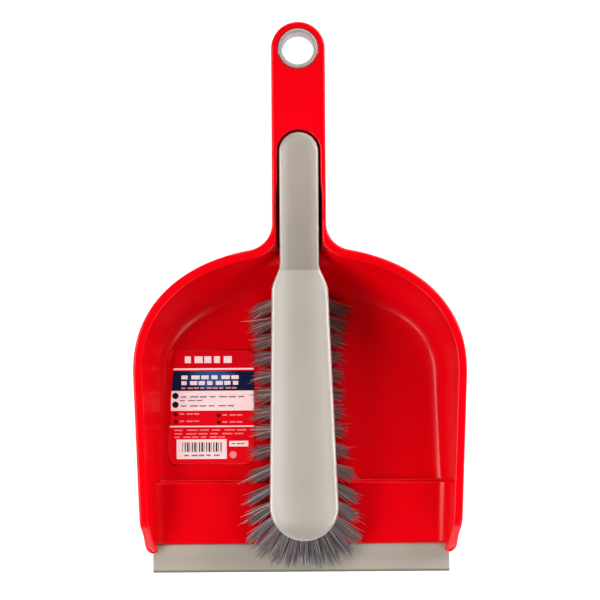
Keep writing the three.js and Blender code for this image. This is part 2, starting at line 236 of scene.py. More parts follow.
def grid_faces(bm, points, sharp_rows=(), sharp_columns=(), flip=False):
    """Quads through points[i][j]; returns the vertices."""
    verts = [[bm.verts.new(Vector(p) * MM) for p in row] for row in points]
    for i in range(len(verts) - 1):
        for j in range(len(verts[0]) - 1):
            quad = [verts[i][j], verts[i + 1][j], verts[i + 1][j + 1], verts[i][j + 1]]
            bm.faces.new(quad[::-1] if flip else quad).smooth = True
    bm.edges.index_update()
    for j in sharp_rows:
        for i in range(len(verts) - 1):
            bm.edges.get((verts[i][j], verts[i + 1][j])).smooth = False
    for i in sharp_columns:
        for j in range(len(verts[0]) - 1):
            bm.edges.get((verts[i][j], verts[i][j + 1])).smooth = False
    return verts


def tube_faces(bm, rings):
    """Quads between closed rings of vertices."""
    for upper, lower in zip(rings, rings[1:]):
        for a, b, c, d in zip(upper, lower, lower[1:] + lower[:1], upper[1:] + upper[:1]):
            bm.faces.new((a, b, c, d)).smooth = True


def join_seams(bm, distance):
    bmesh.ops.remove_doubles(bm, verts=bm.verts, dist=distance * MM)


def close_form(bm, distance=0.003):
    """Joins the seams and turns the faces outward."""
    join_seams(bm, distance)
    bmesh.ops.recalc_face_normals(bm, faces=bm.faces)


def make_object(name, bm, material, weld=0.002):
    if weld:
        join_seams(bm, weld)
        bmesh.ops.dissolve_degenerate(bm, edges=bm.edges, dist=0.5 * weld * MM)
    mesh = bpy.data.meshes.new(name)
    bm.to_mesh(mesh)
    bm.free()
    mesh.materials.append(material)
    obj = bpy.data.objects.new(name, mesh)
    bpy.context.scene.collection.objects.link(obj)
    return obj


# --- Paths of the pan ---
# A station is a point of the outline, the matching point of the opening's edge, and the place on
# the middle line that the ray from there runs to, all on the right side.

def shoulder_curve(inset, ratios):
    """Points of the shoulder, drawn in by inset, at ratios from 0 at the side to 1 at the rear."""
    angle = ratios * math.pi / 2
    x = (PAN_HALF_WIDTH - inset) * np.cos(angle) ** (2 / SHOULDER_POWER)
    y = (SHOULDER_DEPTH - inset) * np.sin(angle) ** (2 / SHOULDER_POWER)
    return np.stack([x, WIDEST_Y + y], 1)


def shoulder_ratios(count):
    """Ratios whose points are evenly spaced along the shoulder, up to where the fillet starts."""
    ratios = np.linspace(0, 1, 2000)
    points = shoulder_curve(0, ratios)
    end_x = 2 * FILLET_RADIUS + FILLET_RADIUS * math.cos(FILLET_END)
    keep = points[:, 0] >= end_x
    steps = lengths_along(points[keep])
    return np.interp(np.linspace(0, steps[-1], count), steps, ratios[keep])


def wall_inset(rise, foot, lean):
    """How far the wall's face is drawn in at a share of its height."""
    angle = np.arccos(np.clip(1 - rise, 0, 1) ** (FOOT_POWER / 2))
    run = np.sin(angle) ** (2 / FOOT_POWER)
    return foot - (foot - RIM_BAND - lean) * run - lean * rise


def channel_half(y):
    step = smoothstep(y, CHANNEL_STEP_Y - 3, CHANNEL_STEP_Y + 3)
    return CHANNEL_MOUTH_HALF_WIDTH + (CHANNEL_HALF_WIDTH - CHANNEL_MOUTH_HALF_WIDTH) * step


def corner_stations():
    """Round the front corner, where the wall slopes down to the mouth."""
    corner = curve_through([(93, TIP_Y), (95.8, -156.3), (97, -153), (97.6, -147),
                            (MOUTH_HALF_WIDTH, RIM_KINK_Y)], 16)
    stations = []
    for x, y in corner[:-1]:
        y_in = max(y, TIP_Y + 1.0)
        rise = (edge_z(y_in) - FLOOR_TOP) / (rim_plane(y_in) - FLOOR_TOP)
        inset = wall_inset(float(rise), FLOOR_INSET_MOUTH, WALL_LEAN)
        x_in = min(x - 2.2, MOUTH_HALF_WIDTH - inset - 0.04 * (RIM_KINK_Y - y))
        stations.append(((x, y), (x_in, y_in), y_in))
    return stations


def side_stations():
    """Along the straight side, closer together where the ramp's step is."""
    front = np.arange(RIM_KINK_Y, CREST_Y - 4, 3.0)
    step = np.arange(CREST_Y - 3, WELL_FRONT_Y + 3, 0.3)
    rest = np.linspace(WELL_FRONT_Y + 4, WIDEST_Y, 26, endpoint=False)
    stations = []
    for y in np.r_[front, step, rest]:
        share = (y - RIM_KINK_Y) / (WIDEST_Y - RIM_KINK_Y)
        x = MOUTH_HALF_WIDTH + share * (PAN_HALF_WIDTH - MOUTH_HALF_WIDTH)
        stations.append(((x, y), (x - RIM_BAND, y), y))
    return stations


def shoulder_stations():
    """Round the shoulder."""
    ratios = shoulder_ratios(78)
    cores = WIDEST_Y + 40 * (ratios / ratios[-1]) ** 1.5
    return list(zip(shoulder_curve(0, ratios), shoulder_curve(RIM_BAND, ratios), cores))


def neck_stations():
    """Round the fillet between the shoulder and the handle, then along the channel."""
    stations = []
    centre = np.array([2 * FILLET_RADIUS, FILLET_Y])
    for angle in np.linspace(FILLET_END, math.pi, 20)[1:]:
        turn = np.array([math.cos(angle), math.sin(angle)])
        inner = centre + (FILLET_RADIUS + RIM_BAND) * turn
        share = (FILLET_END - angle) / (FILLET_END - math.pi)
        stations.append((centre + FILLET_RADIUS * turn,
                         (max(inner[0], CHANNEL_MOUTH_HALF_WIDTH), inner[1]), -7 + 52 * share ** 1.2))
    for y in np.linspace(FILLET_Y, CHANNEL_ROUND_Y, 16)[1:]:
        stations.append(((HANDLE_HALF_WIDTH, y), (channel_half(y), y), y))
    return stations


def pan_paths():
    """The outline, the opening's edge and the middle line, and how many points match in all three."""
    stations = corner_stations() + side_stations() + shoulder_stations() + neck_stations()
    outline = np.array([station[0] for station in stations])
    opening = np.array([station[1] for station in stations])
    end = [(HANDLE_HALF_WIDTH, y) for y in np.linspace(CHANNEL_ROUND_Y, RING_Y, 14)[1:]]
    end += [(HANDLE_HALF_WIDTH * math.cos(a), RING_Y + HANDLE_HALF_WIDTH * math.sin(a))
            for a in np.linspace(0, math.pi / 2, 26)[1:]]
    turn = np.linspace(0, math.pi / 2, 22)[1:]
    channel_end = np.stack([np.cos(turn), np.sin(turn)], 1) * CHANNEL_HALF_WIDTH + (0, CHANNEL_ROUND_Y)
    core = np.r_[[station[2] for station in stations], CHANNEL_ROUND_Y + 9.5 * np.sin(turn)]
    outline = np.r_[soften(outline, 2), np.array(end)]
    opening = np.r_[soften(opening, 3), channel_end]
    return outline, opening, core, len(stations)


# --- The pan's inner surface as a height over each point ---

def scoop_height(x, y):
    """Height of the scoop's floor, foot curve and wall, found by halving the span it can be in."""
    low = np.zeros_like(x)
    high = np.ones_like(x)
    behind = np.maximum(y - WIDEST_Y, 0)
    for _ in range(34):
        rise = 0.5 * (low + high)
        inside = level_inside(x, y, behind, rise)
        high = np.where(inside, rise, high)
        low = np.where(inside, low, rise)
    rear = SHOULDER_DEPTH - wall_inset(rise, FLOOR_INSET_REAR, REAR_LEAN)
    rim_y = np.where(y > WIDEST_Y, WIDEST_Y + (SHOULDER_DEPTH - RIM_BAND) * behind / rear, y)
    return FLOOR_TOP + rise * (rim_plane(rim_y) - FLOOR_TOP)


def level_inside(x, y, behind, rise):
    """Whether a point lies inside the scoop's plan at a share of the wall's height."""
    half_x = PAN_HALF_WIDTH - wall_inset(rise, FLOOR_INSET, WALL_LEAN)
    half_y = SHOULDER_DEPTH - wall_inset(rise, FLOOR_INSET_REAR, REAR_LEAN)
    mouth = MOUTH_HALF_WIDTH - wall_inset(rise, FLOOR_INSET_MOUTH, WALL_LEAN)
    straight = half_x + (y - WIDEST_Y) / (RIM_KINK_Y - WIDEST_Y) * (mouth - half_x)
    rounded = (np.abs(x) / half_x) ** SHOULDER_POWER + (behind / half_y) ** SHOULDER_POWER < 1
    return np.where(y > WIDEST_Y, rounded, np.abs(x) < straight)


def ramp_height(y):
    """The step up from the flat floor to the crest, then the long slope down to the lip."""
    share = np.clip((y - PLATE_FRONT_Y) / (CREST_Y - PLATE_FRONT_Y), -0.2, 1.2)
    slope = PLATE_FRONT_TOP + share * (CREST_HEIGHT - PLATE_FRONT_TOP)
    step = CREST_HEIGHT - (y - CREST_Y) * (CREST_HEIGHT - FLOOR_TOP) / (WELL_FRONT_Y - CREST_Y)
    return smooth_min(slope, step, 0.5)


def channel_height(x, y):
    """The channel for the brush's handle, with the neck that opens into it."""
    inside = np.where(y < CHANNEL_ROUND_Y, channel_half(y) - np.abs(x),
                      CHANNEL_HALF_WIDTH - np.hypot(x, y - CHANNEL_ROUND_Y))
    lean = CHANNEL_LEAN + NECK_EXTRA_LEAN * smoothstep(-y, -46, -26)
    full = np.full_like(x, CHANNEL_DEPTH)
    channel = smooth_min(inside / lean * CHANNEL_DEPTH, full, CHANNEL_FOOT_ROUND)
    to_fillet = np.hypot(np.abs(x) - 2 * FILLET_RADIUS, y - FILLET_Y) - FILLET_RADIUS - RIM_BAND
    in_neck = (y < FILLET_Y) & (np.abs(x) < 2 * FILLET_RADIUS - 2)
    neck = smooth_min(to_fillet / NECK_SLOPE_RUN * CHANNEL_DEPTH, full, CHANNEL_FOOT_ROUND)
    depth = np.maximum(channel, np.where(in_neck, neck, 0))
    return rim_plane(y) - np.clip(depth, 0, None)


def inner_height(x, y):
    """The scoop and the channel cut into each other softly, except at the rim, and the ramp."""
    scoop = scoop_height(x, y)
    channel = channel_height(x, y)
    drop = rim_plane(y) - np.minimum(scoop, channel)
    cut = smooth_min(scoop, channel, 0.02 + 3.5 * smoothstep(drop, 0.5, 8))
    return smooth_max(cut, ramp_height(y), 0.8)


# --- The pan ---

def station_rays(opening, core):
    """For each station, points on the inner surface from the rounded edge to the middle line."""
    spread = np.linspace(0, 1, RAY_SAMPLES) ** 2
    x = opening[:, :1] - opening[:, :1] * spread
    y = opening[:, 1:] + (core[:, None] - opening[:, 1:]) * spread
    z = np.minimum(inner_height(x, y), edge_z(y) + 0.5)
    top = edge_z(opening[:, 1]) - INNER_ROUND
    nearly_floor = z[:, -1] + 0.015 * (top - z[:, -1]) + 0.04
    starts = np.argmax(z <= top[:, None], axis=1)
    feet = np.maximum(np.argmax(z <= nearly_floor[:, None], axis=1), starts + SHORTEST_WALL)
    feet = soften(feet[:, None].astype(float), 12)[:, 0].astype(int)
    rays = []
    for i, (start, foot) in enumerate(zip(starts, feet)):
        line = np.stack([x[i], y[i], z[i]], 1)
        line[start, 2] = top[i]
        wall = resample(line[start:foot + 1], WALL_ROWS)
        floor = resample(line[foot:], FLOOR_ROWS)[1:]
        rays.append(np.r_[wall, floor])
    return np.array(rays)


def mirror_stations(points):
    """The right side's stations, then the left side's in reverse, which shares the last one."""
    left = points[::-1].copy()
    left[..., 0] *= -1
    return np.concatenate([points, left[1:]])


def inner_shell(opening, core):
    """The scoop, neck and channel as one skin of even thickness, and the edge that it starts at."""
    rays = station_rays(opening, core)
    outward = opening - np.stack([np.zeros_like(core), core], 1)
    outward /= np.linalg.norm(outward, axis=1)[:, None]
    tucked = rays[:, 0].copy()
    tucked[:, :2] += 0.15 * outward
    tucked[:, 2] += 0.3
    full = mirror_stations(np.concatenate([tucked[:, None], rays], 1))
    front = int(np.sum(opening[:, 1] < PLATE_FRONT_Y))
    last = len(full) - 1 - front
    bm = bmesh.new()
    grid_faces(bm, full[front:last + 1])
    grid_faces(bm, full[:front + 1, :WALL_ROWS + 1])
    grid_faces(bm, full[last:, :WALL_ROWS + 1])
    close_form(bm, 0.004)
    if sum(f.normal.z for f in bm.faces) < 0:
        bmesh.ops.reverse_faces(bm, faces=bm.faces)
    bmesh.ops.solidify(bm, geom=bm.faces[:], thickness=WALL * MM)
    return bm, rays[:, 0]


def outline_normals(outline):
    """Normals into the plan; the first copies its neighbour and the last points straight forward."""
    inward = path_normals(outline)
    inward[0] = inward[1]
    inward[-1] = (0, -1)
    return inward


def rim_rows(outline, insets_and_drops):
    """Rows along the outline, each drawn in and set down by the amounts given."""
    inward = outline_normals(outline)
    top = edge_z(outline[:, 1])
    return np.stack([np.c_[outline + inset * inward, top - drop] for inset, drop in insets_and_drops], 1)


def outer_rim_rows(outline):
    """Rows from the skirt's foot outside, over the rounded outer edge, to the flat top."""
    depth = skirt_depth(outline[:, 1])
    places = [(0.5, depth), (0.12, depth - 0.25), (0.0, depth - 0.8), (0.0, EDGE_ROUND)]
    for angle in np.linspace(0, math.pi / 2, 8)[1:]:
        places.append((EDGE_ROUND * (1 - math.cos(angle)), EDGE_ROUND * (1 - math.sin(angle))))
    places.append((EDGE_ROUND + 0.25, 0))
    return rim_rows(outline, places)


def skirt_rows(outline):
    """Rows of the skirt's inner face, from under the flange to the skirt's foot."""
    depth = skirt_depth(outline[:, 1])
    return rim_rows(outline, [(SKIRT_WALL, 2.2), (SKIRT_WALL, np.maximum(depth - 0.3, 2.3)),
                              (SKIRT_WALL - 0.4, np.maximum(depth, 2.4)), (0.5, depth)])


def inner_rim_rows(opening, edge):
    """Rows of the rounded inner edge, from the flat top down to just under the inner skin's edge."""
    inward = path_normals(opening)
    inward[-1] = (0, -1)
    rows = []
    for angle in np.linspace(math.pi / 2, 0, INNER_RIM_STEPS):
        outset = INNER_ROUND * (1 - math.cos(angle))
        z = edge[:, 2] + INNER_ROUND * math.sin(angle)
        rows.append(np.c_[edge[:, :2] - outset * inward, z])
    first = rows[0].copy()
    first[:, :2] -= 0.25 * inward
    under = rows[-1].copy()
    under[:, :2] -= 0.4 * inward
    under[:, 2] -= 1.2
    return np.stack([first] + rows + [under], 1)


def skirt_depth(y):
    deep = smoothstep(y, 20, 56)
    shallow = SKIRT_DEPTH - 3.2 * smoothstep(-y, -RIM_KINK_Y + 1, -TIP_Y)
    return shallow + (HANDLE_DEPTH - SKIRT_DEPTH) * deep


def rim_bm(outline, opening, edge, joined):
    """The flange, the skirt, the flat end of the handle and the ring's seat."""
    bm = bmesh.new()
    outer = outer_rim_rows(outline)
    inner = inner_rim_rows(opening, edge)
    skirt = skirt_rows(outline)
    grid_faces(bm, mirror_stations(outer))
    grid_faces(bm, mirror_stations(skirt))
    grid_faces(bm, mirror_stations(inner), sharp_rows=[INNER_RIM_STEPS])
    crown = crown_rows(outer[:joined, -1], inner[:joined, 0])
    underside = np.stack([inner[:joined, -1], skirt[:joined, 0]], 1)
    for part in (crown, underside):
        grid_faces(bm, part)
        grid_faces(bm, part * (-1, 1, 1), flip=True)
    cap_mouth_ends(bm, outer[0], crown[0], inner[0], skirt[0])
    join_seams(bm, 0.003)
    seat_top, seat_bottom = ring_seat(bm)
    fill_end(bm, outer[joined - 1:, -1], inner[joined - 1:, 0], seat_top)
    fill_end(bm, skirt[joined - 1:, 0], inner[joined - 1:, -1], seat_bottom)
    bmesh.ops.recalc_face_normals(bm, faces=bm.faces)
    return bm


def crown_rows(outer, inner):
    """The flange's top between its two rounded edges, a little higher in the middle."""
    width = np.linalg.norm(outer[:, :2] - inner[:, :2], axis=1)
    rise = 0.05 * np.clip(width - 1.2, 0, None)
    rows = []
    for share in np.linspace(0, 1, 7):
        row = outer + (inner - outer) * share
        row[:, 2] += rise * 4 * share * (1 - share)
        rows.append(row)
    return np.stack(rows, 1)


def cap_mouth_ends(bm, outer, crown, inner, skirt):
    """Closes the flange's two front ends."""
    loop = list(outer) + list(crown[1:-1]) + list(inner) + list(skirt[:-1])
    for sign in (1, -1):
        bm.faces.new([bm.verts.new(Vector((sign * x, y, z)) * MM) for x, y, z in loop])


def ring_seat(bm):
    """The hole that the hanging ring sits in; returns the loops where the plate meets it."""
    radius = RING_OUTER + SEAT_GAP
    boss = HANDLE_HALF_WIDTH - SKIRT_WALL - 0.2
    profile = [(radius + 0.85, 0), (radius + 0.6, 0), (radius + 0.3, 0.08), (radius + 0.08, 0.3),
               (radius, 0.6), (radius, HANDLE_DEPTH - 0.5), (radius + 0.5, HANDLE_DEPTH),
               (boss, HANDLE_DEPTH), (boss, 2.2)]
    loops = []
    for r, drop in profile:
        loop = []
        for cos, sin in circle_points(72):
            y = RING_Y + r * sin
            loop.append(bm.verts.new(Vector((r * cos, y, rim_plane(y) - drop)) * MM))
        loops.append(loop)
    tube_faces(bm, loops)
    return loops[0], loops[-1]


def fill_end(bm, outer, inner, hole):
    """Fills the flat end of the handle between the outline, the channel's end and the ring's seat."""
    grain = 0.01 * MM
    right = [Vector(p) for p in outer]
    back = [Vector(p) for p in inner]
    loop = right + [Vector((-p.x, p.y, p.z)) for p in right[-2::-1]]
    loop += [Vector((-p.x, p.y, p.z)) for p in back] + back[-2::-1]
    lookup = {tuple(round(c / grain) for c in v.co): v for v in bm.verts}
    verts = []
    for p in loop:
        key = tuple(round(c * MM / grain) for c in p)
        verts.append(lookup.get(key) or bm.verts.new(p * MM))
    edges = []
    for a, b in zip(verts, verts[1:] + verts[:1]):
        edges.append(bm.edges.get((a, b)) or bm.edges.new((a, b)))
    for a, b in zip(hole, hole[1:] + hole[:1]):
        edges.append(bm.edges.get((a, b)))
    made = bmesh.ops.triangle_fill(bm, use_beauty=True, edges=edges)
    for f in made["geom"]:
        if isinstance(f, bmesh.types.BMFace):
            f.smooth = True


def box_bm(bm, low, high):
    made = bmesh.ops.create_cube(bm, size=1)
    for v in made["verts"]:
        for k in range(3):
            v.co[k] = (low[k] if v.co[k] < 0 else high[k]) * MM


def rib_bm():
    """Cross ribs in the hollow under the end of the handle."""
    bm = bmesh.new()
    half = HANDLE_HALF_WIDTH - SKIRT_WALL / 2
    for y in RIB_YS:
        top = rim_plane(y)
        box_bm(bm, (-half, y, top - HANDLE_DEPTH + 3), (half, y + RIB_WALL, top - 1.2))
    return bm


def join_bms(target, others):
    for other in others:
        mesh = bpy.data.meshes.new("part")
        other.to_mesh(mesh)
        other.free()
        target.from_mesh(mesh)
        bpy.data.meshes.remove(mesh)
    return target


def build_pan(material):
    outline, opening, core, joined = pan_paths()
    shell, edge = inner_shell(opening, core)
    rim = rim_bm(outline, opening, edge, joined)
    bm = join_bms(shell, [rim, rib_bm()])
    pan = make_object("pan_moulding", bm, material, weld=0)
    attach(pan, "pan")
    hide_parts("pan_body")


# --- Lip, ring and label ---

def lip_stations():
    """Places across the lip, each with how far its section is drawn in there to round the ends."""
    left = [(0.4, -LIP_HALF_WIDTH), (0.15, -LIP_HALF_WIDTH + 0.15), (0.0, -LIP_HALF_WIDTH + 0.5)]
    middle = [(0.0, x) for x in np.linspace(-LIP_HALF_WIDTH + 2, LIP_HALF_WIDTH - 2, 60)]
    return left + middle + [(shrink, -x) for shrink, x in left[::-1]]


def build_lip(material):
    """A strip with a rounded front edge and a crease where it thins."""
    back = PLATE_FRONT_Y + 0.2
    crease = 5
    profile = [(back, 0.25), (back, LIP_BACK_TOP - 0.35), (back - 0.35, LIP_BACK_TOP), (-155.5, 2.9),
               (-161.2, 2.34), (-162.0, 2.1), (-162.6, 2.0), (-166, 1.6), (-168.0, 1.4),
               (-168.8, 1.15), (-169.3, 0.75), (-HALF_LENGTH, 0.4), (-169.2, 0.1), (-168.6, 0.0),
               (-160, 0.0), (back - 0.4, 0.0)]
    middle_y, middle_z = np.mean(np.array(profile), 0)
    rows = []
    for shrink, x in lip_stations():
        row = []
        for y, z in profile + profile[:1]:
            drawn_y = y + shrink * np.sign(middle_y - y)
            drawn_z = z + 0.6 * shrink * np.sign(middle_z - z)
            row.append((x, drawn_y, min(max(drawn_z, 0), LIP_BACK_TOP)))
        rows.append(row)
    bm = bmesh.new()
    verts = grid_faces(bm, rows, sharp_rows=[crease])
    bm.faces.new(verts[0][:-1])
    bm.faces.new(verts[-1][-2::-1])
    close_form(bm)
    lip = make_object("lip_strip", bm, material)
    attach(lip, "pan")
    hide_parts("rubber_lip")


def build_ring(material):
    """The hanging ring, turned about its own axis and set square to the handle's top."""
    radius = 0.5 * (RING_OUTER + RING_HOLE)
    half = 0.5 * (RING_OUTER - RING_HOLE)
    bevel = 0.3
    shoulder = RING_PROUD - RING_ROUND
    profile = [(RING_HOLE, -HANDLE_DEPTH + bevel), (RING_HOLE + bevel, -HANDLE_DEPTH),
               (RING_OUTER - bevel, -HANDLE_DEPTH), (RING_OUTER, -HANDLE_DEPTH + bevel),
               (RING_OUTER, shoulder)]
    for a in np.linspace(0, math.pi, 11):
        profile.append((radius + half * math.cos(a), shoulder + RING_ROUND * math.sin(a)))
    profile += [(RING_HOLE, -3), (RING_HOLE, -8), (RING_HOLE, -14)]
    turn = Matrix.Translation((0, RING_Y, rim_plane(RING_Y))) @ Matrix.Rotation(RIM_TILT, 4, "X")
    around = circle_points(96)
    rows = []
    for cos, sin in around + around[:1]:
        rows.append([tuple(turn @ Vector((r * cos, r * sin, z))) for r, z in profile + profile[:1]])
    bm = bmesh.new()
    grid_faces(bm, rows)
    close_form(bm)
    ring = make_object("ring_bush", bm, material)
    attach(ring, "pan")
    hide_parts("hanging_ring")


def label_plan():
    """A grid over the label whose points near the corners are pulled in to round them."""
    half_x, half_y = LABEL_HALF
    xs, ys = np.meshgrid(np.linspace(-half_x, half_x, LABEL_LINES),
                         np.linspace(-half_y, half_y, LABEL_LINES), indexing="ij")
    inner_x, inner_y = half_x - LABEL_CORNER, half_y - LABEL_CORNER
    over_x, over_y = np.abs(xs) - inner_x, np.abs(ys) - inner_y
    corner = (over_x > 0) & (over_y > 0)
    pull = np.maximum(over_x, over_y) / np.maximum(np.hypot(over_x, over_y), 1e-6)
    xs = np.where(corner, np.sign(xs) * (inner_x + over_x * pull), xs)
    ys = np.where(corner, np.sign(ys) * (inner_y + over_y * pull), ys)
    return xs, ys


def build_label(material):
    """A printed sticker with round corners that follows the floor of the scoop."""
    xs, ys = label_plan()
    zs = inner_height(xs + LABEL_CENTRE[0], ys + LABEL_CENTRE[1]) + LABEL_LIFT
    # A sticker is never quite flat.
    zs += 0.05 * np.sin(0.09 * xs + 0.04 * ys) + 0.03 * np.sin(0.17 * ys)
    bm = bmesh.new()
    grid_faces(bm, np.stack([xs, ys, zs], 2))
    bmesh.ops.solidify(bm, geom=bm.faces[:], thickness=LABEL_FILM * MM)
    label = make_object("label_sticker", bm, material, weld=0)
    label.location = (LABEL_CENTRE[0] * MM, LABEL_CENTRE[1] * MM, 0)
    bpy.context.view_layer.update()
    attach(label, "pan")
    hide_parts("label")


# --- Brush ---

def skew(y):
    """How far right the brush's middle line lies, which turns a little at the neck."""
    return np.maximum(FLARE_START_Y - y, 0) * math.tan(HEAD_SKEW)


def block_half(y):
    flare = smoothstep(FLARE_START_Y - y, 0, FLARE_START_Y - HEAD_START_Y)
    along = np.clip((HEAD_START_Y - y) / (HEAD_START_Y - HEAD_ROUND_Y), 0, 1)
    head = HEAD_HALF_REAR + (HEAD_HALF_FRONT - HEAD_HALF_REAR) * along
    return BRUSH_HALF_WIDTH + (head - BRUSH_HALF_WIDTH) * flare


def block_top(y):
    """Level over the head; the handle climbs from it in a hollow curve that flattens at its end."""
    share = np.clip((y - LEVEL_Y) / (BRUSH_END_Y - LEVEL_Y), 0, 1)
    rise = (BRUSH_END_Y - LEVEL_Y) * math.tan(RIM_TILT)
    nose = np.clip((NOSE_START_Y - y) / (NOSE_START_Y - HEAD_END_Y), 0, 1)
    return HEAD_TOP + rise * share * (2.0 - 1.4 * share + 0.4 * share ** 2) - NOSE_DROP * nose ** 1.6


def block_crown(y):
    """How much the block's top falls from its middle to its edges."""
    return CROWN["handle"] + (CROWN["head"] - CROWN["handle"]) * smoothstep(LEVEL_Y + 1 - y, 0, 12)


def block_bottom(y):
    handle = rim_plane(y) - CHANNEL_DEPTH + HANDLE_CLEAR
    to_head = smoothstep(30 - y, 0, 30 - HEAD_START_Y)
    return handle + (HEAD_BOTTOM - handle) * to_head


def block_path():
    """The block's plan on the right side from its handle's end, its spine, and the crease's index."""
    round_y = BRUSH_END_Y - BRUSH_HALF_WIDTH
    end_turn = np.linspace(math.pi / 2, 0, 22)
    front_turn = np.linspace(0, math.pi / 2, 30)[1:]
    places = list(np.arange(round_y - 6, 24, -6)) + list(np.arange(22, LEVEL_Y, -1.1)) + [LEVEL_Y]
    crease = len(end_turn) + len(places) - 1
    places += list(np.arange(LEVEL_Y - 1.1, 0, -1.1)) + list(np.linspace(0, HEAD_ROUND_Y, 30))
    points = [(BRUSH_HALF_WIDTH * math.cos(a), round_y + BRUSH_HALF_WIDTH * math.sin(a)) for a in end_turn]
    points += [(float(block_half(y)), y) for y in places]
    points += [(HEAD_HALF_FRONT * math.cos(a), HEAD_ROUND_Y - HEAD_HALF_FRONT * math.sin(a))
               for a in front_turn]
    spine = np.r_[np.linspace(round_y + 5, round_y - 2, len(end_turn)), places,
                  np.linspace(HEAD_ROUND_Y - 1, NOSE_START_Y, len(front_turn))]
    return np.array(points), spine, crease


def block_rows(points, spine):
    """Rows over the block from the middle of its top, round the edge and under it."""
    centre = np.stack([np.zeros(len(spine)), spine], 1)
    rows = []
    for angle in np.radians([0, 0.5, 2, 5, 10, 17, 26, 36, 46, 55, 63, 70, 76, 82, 86, 90]):
        share = math.sin(angle) ** (2 / BLOCK_EDGE_POWER)
        drop = BLOCK_EDGE_HEIGHT * (1 - math.cos(angle) ** (2 / BLOCK_EDGE_POWER))
        p = centre + (points - centre) * share
        rows.append(np.c_[p, block_top(p[:, 1]) - drop - block_crown(p[:, 1]) * share ** 2])
    under = ((1.0, 2.4), (0.997, 1.3), (0.985, 0.45), (0.96, 0.08), (0.93, 0), (0.5, 0), (0, 0))
    for share, height in under:
        p = centre + (points - centre) * share
        rows.append(np.c_[p, block_bottom(p[:, 1]) + height])
    return np.stack(rows, 1)


def build_block(material):
    points, spine, crease = block_path()
    full = mirror_stations(block_rows(points, spine)[::-1])
    full[..., 0] += skew(full[..., 1])
    bm = bmesh.new()
    grid_faces(bm, full, sharp_columns=[len(points) - 1 - crease, len(points) - 1 + crease])
    close_form(bm)
    block = make_object("brush_block_shell", bm, material)
    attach(block, "brush")
    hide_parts("brush_block")
    return block


def along_side(values, i):
    """The value for the side tuft at index i, from its values at the rear, the middle and the front."""
    rear, middle, front = values
    return middle + (rear - middle) * max(0, 1 - i / 3) + (front - middle) * float(smoothstep(i, 7, 10))


def side_tufts(side, sign):
    tufts = []
    for i in range(SIDE_TUFTS):
        y = TUFT_START_Y - i * TUFT_PITCH
        reach = along_side(SIDE_REACH[side], i)
        forward = math.radians(along_side(FORWARD_LEAN, i))
        tufts.append((f"tuft_{side}_{i + 1}", sign * (float(block_half(y)) - SIDE_TUFT_INSET), y,
                      sign * reach * math.cos(forward), -reach * math.sin(forward),
                      TUFT_ROOT["outer"], along_side(SIDE_SPREAD, i)))
    return tufts


def inner_tufts(side, sign):
    return [(f"tuft_inner_{side}_{i + 1}", sign * INNER_TUFT_X, TUFT_START_Y - (i + 0.5) * TUFT_PITCH,
             0.0, 0.0, TUFT_ROOT["inner"], PLAIN_SPREAD) for i in range(INNER_TUFTS)]


def end_tufts():
    tufts = []
    radius = HEAD_HALF_FRONT - END_TUFT_INSET
    for i in range(END_TUFTS):
        step = i - (END_TUFTS - 1) / 2
        place = math.radians(-90 + END_PLACE_STEP * step)
        turn = math.radians(-90 + END_TURN_STEP * step)
        reach = END_REACH + END_REACH_STEP * min(abs(step), 2.5)
        x, y = radius * math.cos(place), HEAD_ROUND_Y + radius * math.sin(place)
        tufts.append((f"tuft_end_{i + 1}", x, y, reach * math.cos(turn), reach * math.sin(turn),
                      TUFT_ROOT["outer"], PLAIN_SPREAD))
    return tufts


def tuft_layout():
    """Name, root, lean, root radius and tip spread of every tuft."""
    left = side_tufts("left", -1) + inner_tufts("left", -1)
    right = side_tufts("right", 1) + inner_tufts("right", 1)
    return left + right + end_tufts()


def bristle_path(rng, k, tuft, tip_z):
    """Points of one bristle, from inside the block to its tip; a stray runs longer and wanders more."""
    name, x, y, lean_x, lean_y, root_radius, spread = tuft
    stray_reach = (0.98, 1.05) if "end" in name else (1.06, 1.22)
    share = math.sqrt((k + 0.5) / FILAMENTS)
    turn = k * GOLDEN_ANGLE + rng.uniform(-0.3, 0.3)
    stray = rng.random() < STRAY_SHARE
    extra = rng.uniform(*stray_reach) if stray else rng.triangular(0.76, 1.06, 1.0)
    wander = rng.gauss(0, 2.2 if stray else 0.7)
    swell = spread * share * rng.uniform(0.7, 1.15)
    flat = 0.94 / extra if stray else 0.99
    path = []
    for along in (-0.16, 0.0, 0.2, 0.42, 0.64, 0.84, 1.0):
        down = along * extra
        bend = 0.75 * down + 0.25 * max(down, 0) ** 2
        grow = root_radius * share + (swell - root_radius * share) * max(along, 0)
        side = wander * max(along, 0) ** 2
        px = x + skew(y) + lean_x * bend + grow * math.cos(turn) + side * math.sin(turn)
        py = y + lean_y * bend + grow * math.sin(turn) + side * math.cos(turn)
        pz = HEAD_BOTTOM - (HEAD_BOTTOM - tip_z) * down * flat
        path.append((px, py, max(pz, tip_z - 0.6)))
    return path


def filament(bm, path, radius):
    """One bristle: a thin square tube with a tapered tip."""
    rings = []
    for k, (x, y, z) in enumerate(path):
        r = radius * (0.55 if k == len(path) - 1 else 1.0)
        ring = [Vector((x + r * cos, y + r * sin, z)) * MM for cos, sin in circle_points(4)]
        rings.append([bm.verts.new(place) for place in ring])
    tube_faces(bm, rings)
    bm.faces.new(rings[0])
    bm.faces.new(rings[-1][::-1])


